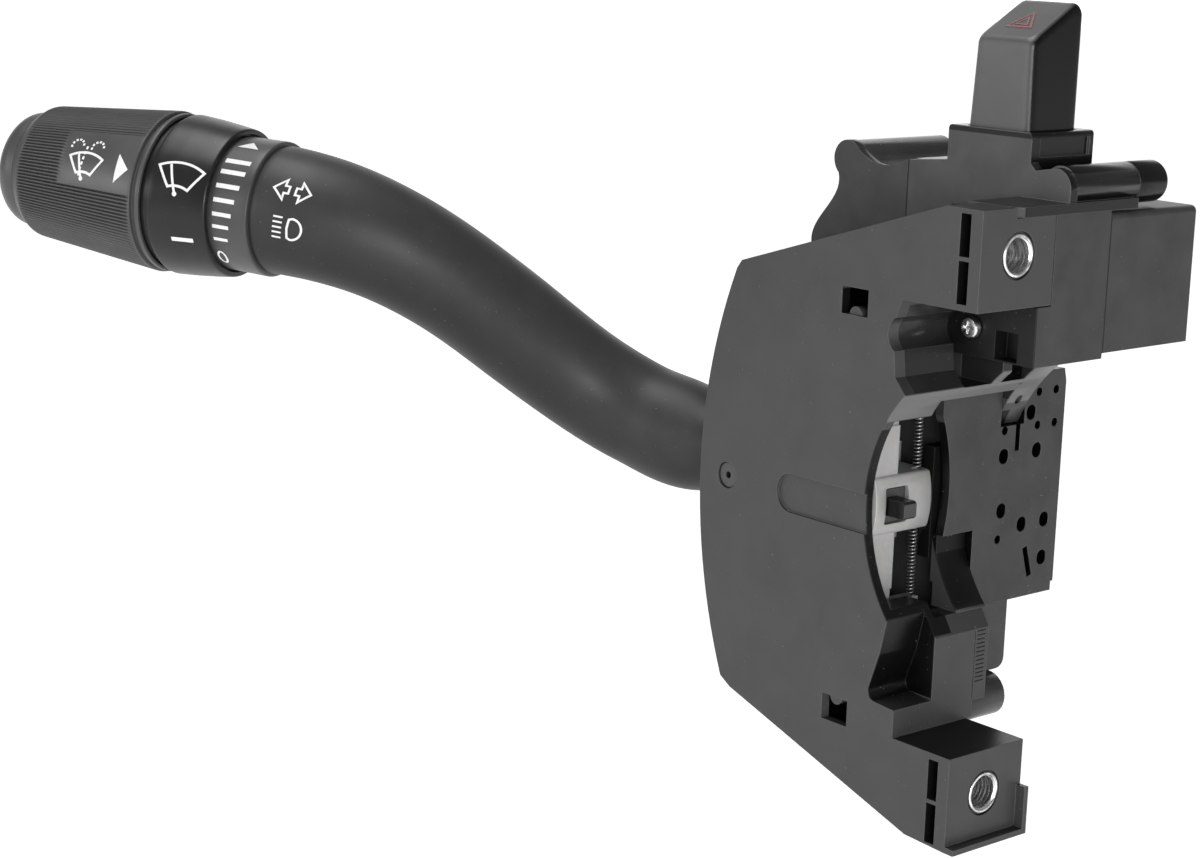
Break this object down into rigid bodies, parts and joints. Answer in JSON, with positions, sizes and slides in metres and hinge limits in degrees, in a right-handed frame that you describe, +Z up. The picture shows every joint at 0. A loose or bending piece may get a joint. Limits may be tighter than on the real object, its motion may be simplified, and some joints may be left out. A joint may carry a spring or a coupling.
{
  "type": "combination stalk switch",
  "caption": "Steering column switch with an S-bent stalk, twist collar and push knob, hazard push button, connector and a moulded bracket with bolt sleeves.",
  "frame": {"origin": "halfway between the two mounting sleeves, on the face that bolts to the column bracket", "axes": "+X to the driver's right, along the mounting bolts towards the steering column; +Y away from the driver, along the column; +Z up, along the row of the two sleeves"},
  "size_m": [0.2486, 0.1811, 0.1829],
  "materials": {
    "housing_black": "satin moulded black nylon",
    "panel_black": "fine grained black moulding",
    "hazard_case_black": "satin moulded black nylon",
    "hazard_button_black": "smooth black with a red triangle sign",
    "stalk_black": "fine grained black moulding",
    "collar_black": "smooth satin black",
    "knob_black": "ribbed satin black",
    "pawl_black": "satin black",
    "natural_nylon": "translucent natural nylon",
    "bright_steel": "zinc plated",
    "spring_steel": "drawn spring wire",
    "core_steel": "plain steel",
    "board_brown": "laminated insulating board",
    "contact_brass": "plain brass"
  },
  "bodies": {
    "housing": {"front_housing": "housing_black", "mount_sleeves": "bright_steel", "rear_housing": "housing_black", "terminal_panel": "panel_black", "pivot_pins": "pawl_black", "case_screws": "bright_steel", "connector_block": "panel_black", "connector_shroud": "panel_black", "connector_terminals": "contact_brass", "hazard_housing": "hazard_case_black", "hazard_cover": "hazard_case_black", "hazard_screws": "bright_steel", "hazard_contacts": "contact_brass", "hazard_spring": "spring_steel", "detent_track": "pawl_black", "contact_board": "board_brown", "contact_rails": "contact_brass"},
    "carrier": {"turn_carrier": "natural_nylon", "pull_pin": "bright_steel", "pawl_spring": "spring_steel", "detent_plunger": "spring_steel", "detent_spring": "spring_steel"},
    "pawl": {"cancel_pawl": "pawl_black"},
    "slider": {"turn_slider": "pawl_black", "turn_contacts": "contact_brass"},
    "lever": {"stalk": "stalk_black", "stalk_core": "core_steel", "pull_spring": "spring_steel", "scale_ring": "stalk_black", "knob_spindle": "core_steel", "wiper_board": "board_brown", "washer_contact": "contact_brass"},
    "collar": {"wiper_collar": "collar_black", "wiper_rotor": "pawl_black"},
    "washer": {"washer_knob": "knob_black", "knob_cap": "collar_black", "knob_spring": "spring_steel"},
    "hazard": {"hazard_button": "hazard_button_black", "hazard_plunger": "pawl_black", "hazard_bridge": "contact_brass"}
  },
  "joints": [
    {"name": "turn_signal", "type": "hinge", "parent": "housing", "child": "carrier", "pos_m": [-0.0746, 0, -0.001], "axis": [0, 1, 0], "range_deg": [-8, 8]},
    {"name": "cancel_pawl", "type": "slide", "parent": "carrier", "child": "pawl", "axis": [-1, 0, 0], "range_m": [0, 0.0035], "stiffness_N_per_m": 300, "springref_m": -0.002},
    {"name": "contact_slide", "type": "slide", "parent": "housing", "child": "slider", "axis": [0, 0, 1], "range_m": [-0.0037, 0.0037]},
    {"name": "pull_flash", "type": "hinge", "parent": "carrier", "child": "lever", "pos_m": [-0.072, 0.003, 0], "axis": [0, 0, 1], "range_deg": [0, 6], "stiffness_Nm_per_rad": 6, "springref_deg": -4.58},
    {"name": "wiper_twist", "type": "hinge", "parent": "lever", "child": "collar", "pos_m": [-0.1706, -0.0749, 0.05465], "axis": [-0.8887, -0.4528, 0.0715], "range_deg": [-16, 75]},
    {"name": "washer_push", "type": "slide", "parent": "collar", "child": "washer", "axis": [0.8887, 0.4528, -0.0715], "range_m": [0, 0.002], "stiffness_N_per_m": 900, "springref_m": -0.003},
    {"name": "hazard_push", "type": "slide", "parent": "housing", "child": "hazard", "axis": [0, 0, -1], "range_m": [0, 0.005], "stiffness_N_per_m": 500, "springref_m": -0.003, "deforming": ["hazard_spring"]}
  ],
  "couplings": [
    {"joint": "contact_slide", "follows": "turn_signal", "m_per_rad": -0.0256}
  ]
}
